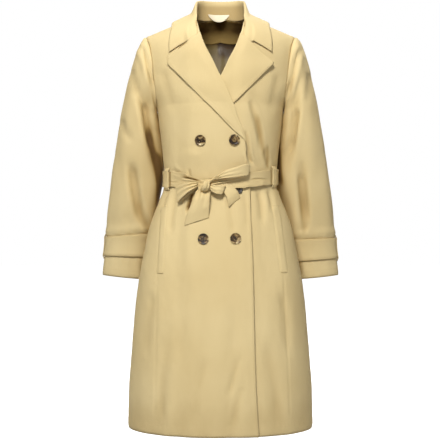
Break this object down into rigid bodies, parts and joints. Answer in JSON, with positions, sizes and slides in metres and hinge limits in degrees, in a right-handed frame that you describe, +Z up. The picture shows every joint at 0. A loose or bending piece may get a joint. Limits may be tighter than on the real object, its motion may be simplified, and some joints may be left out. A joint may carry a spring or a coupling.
{
  "type": "trench coat",
  "caption": "Knee-length double-breasted beige trench coat with wide lapels, six buttons, sleeve straps and a belt tied in a bow, standing hollow as if worn.",
  "frame": {"origin": "middle of the body level with the neck points, where the wearer's shoulders hold it up", "axes": "+Z up, the front faces -Y, +X to the wearer's left"},
  "size_m": [0.632, 0.3347, 1.1113],
  "materials": {
    "cotton_twill": "matte",
    "lining": "matte",
    "label": "matte",
    "button": "gloss"
  },
  "bodies": {
    "root": {"back_left": "cotton_twill", "back_right": "cotton_twill", "belt_band": "cotton_twill", "belt_end_long": "cotton_twill", "belt_end_short": "cotton_twill", "belt_knot": "cotton_twill", "belt_loop_left": "cotton_twill", "belt_loop_right": "cotton_twill", "bow_loop_lower": "cotton_twill", "bow_loop_side": "cotton_twill", "bow_loop_upper": "cotton_twill", "button_bottom_edge": "button", "button_bottom_outer": "button", "button_middle_edge": "button", "button_middle_outer": "button", "button_top_edge": "button", "button_top_outer": "button", "collar": "cotton_twill", "cuff_strap_left": "cotton_twill", "cuff_strap_right": "cotton_twill", "front_left": "cotton_twill", "front_right": "cotton_twill", "lapel_left": "cotton_twill", "lapel_right": "cotton_twill", "lining_back": "lining", "neck_facing": "cotton_twill", "neck_label": "label", "pocket_welt_left": "cotton_twill", "pocket_welt_right": "cotton_twill", "sleeve_left": "cotton_twill", "sleeve_right": "cotton_twill", "strap_keeper_left": "cotton_twill", "strap_keeper_right": "cotton_twill"}
  },
  "joints": []
}
